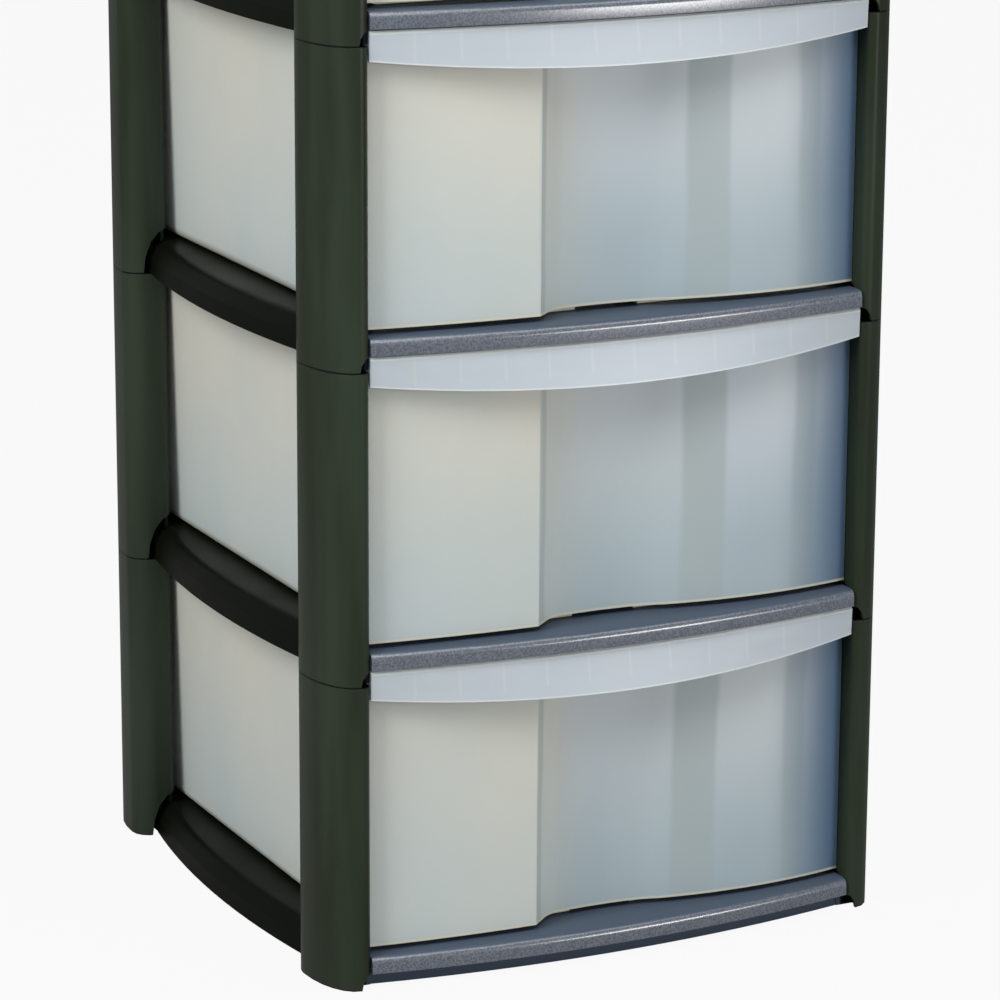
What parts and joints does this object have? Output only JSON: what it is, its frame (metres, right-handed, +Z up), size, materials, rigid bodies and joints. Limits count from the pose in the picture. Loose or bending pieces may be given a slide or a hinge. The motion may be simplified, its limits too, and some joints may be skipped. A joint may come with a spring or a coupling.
{
  "type": "plastic drawer tower",
  "caption": "Free-standing tower of pull-out plastic drawers: dark bowed shelves on stacked hollow corner posts, pale frosted drawers with wave-shaped fronts and full-width hooked pulls.",
  "frame": {"origin": "on the floor, at the middle of the closed tower's plan", "axes": "+Z up, +Y to the back, +X to the right of somebody who faces the drawers"},
  "size_m": [0.402, 0.4124, 0.821],
  "materials": {
    "dark_plastic": "fine leather grain, satin",
    "frosted_plastic": "frosted, translucent"
  },
  "bodies": {
    "frame": {"base_shelf": "dark_plastic", "shelf_1": "dark_plastic", "shelf_2": "dark_plastic", "shelf_3": "dark_plastic", "top_cover": "dark_plastic", "post_front_left_1": "dark_plastic", "post_front_left_2": "dark_plastic", "post_front_left_3": "dark_plastic", "post_front_left_4": "dark_plastic", "post_back_left_1": "dark_plastic", "post_back_left_2": "dark_plastic", "post_back_left_3": "dark_plastic", "post_back_left_4": "dark_plastic", "post_front_right_1": "dark_plastic", "post_front_right_2": "dark_plastic", "post_front_right_3": "dark_plastic", "post_front_right_4": "dark_plastic", "post_back_right_1": "dark_plastic", "post_back_right_2": "dark_plastic", "post_back_right_3": "dark_plastic", "post_back_right_4": "dark_plastic"},
    "drawer_1_body": {"drawer_1": "frosted_plastic"},
    "drawer_2_body": {"drawer_2": "frosted_plastic"},
    "drawer_3_body": {"drawer_3": "frosted_plastic"},
    "drawer_4_body": {"drawer_4": "frosted_plastic"}
  },
  "joints": [
    {"name": "drawer_1_slide", "type": "slide", "parent": "frame", "child": "drawer_1_body", "axis": [0, -1, 0], "range_m": [0, 0.277]},
    {"name": "drawer_2_slide", "type": "slide", "parent": "frame", "child": "drawer_2_body", "axis": [0, -1, 0], "range_m": [0, 0.277]},
    {"name": "drawer_3_slide", "type": "slide", "parent": "frame", "child": "drawer_3_body", "axis": [0, -1, 0], "range_m": [0, 0.277]},
    {"name": "drawer_4_slide", "type": "slide", "parent": "frame", "child": "drawer_4_body", "axis": [0, -1, 0], "range_m": [0, 0.277]}
  ]
}
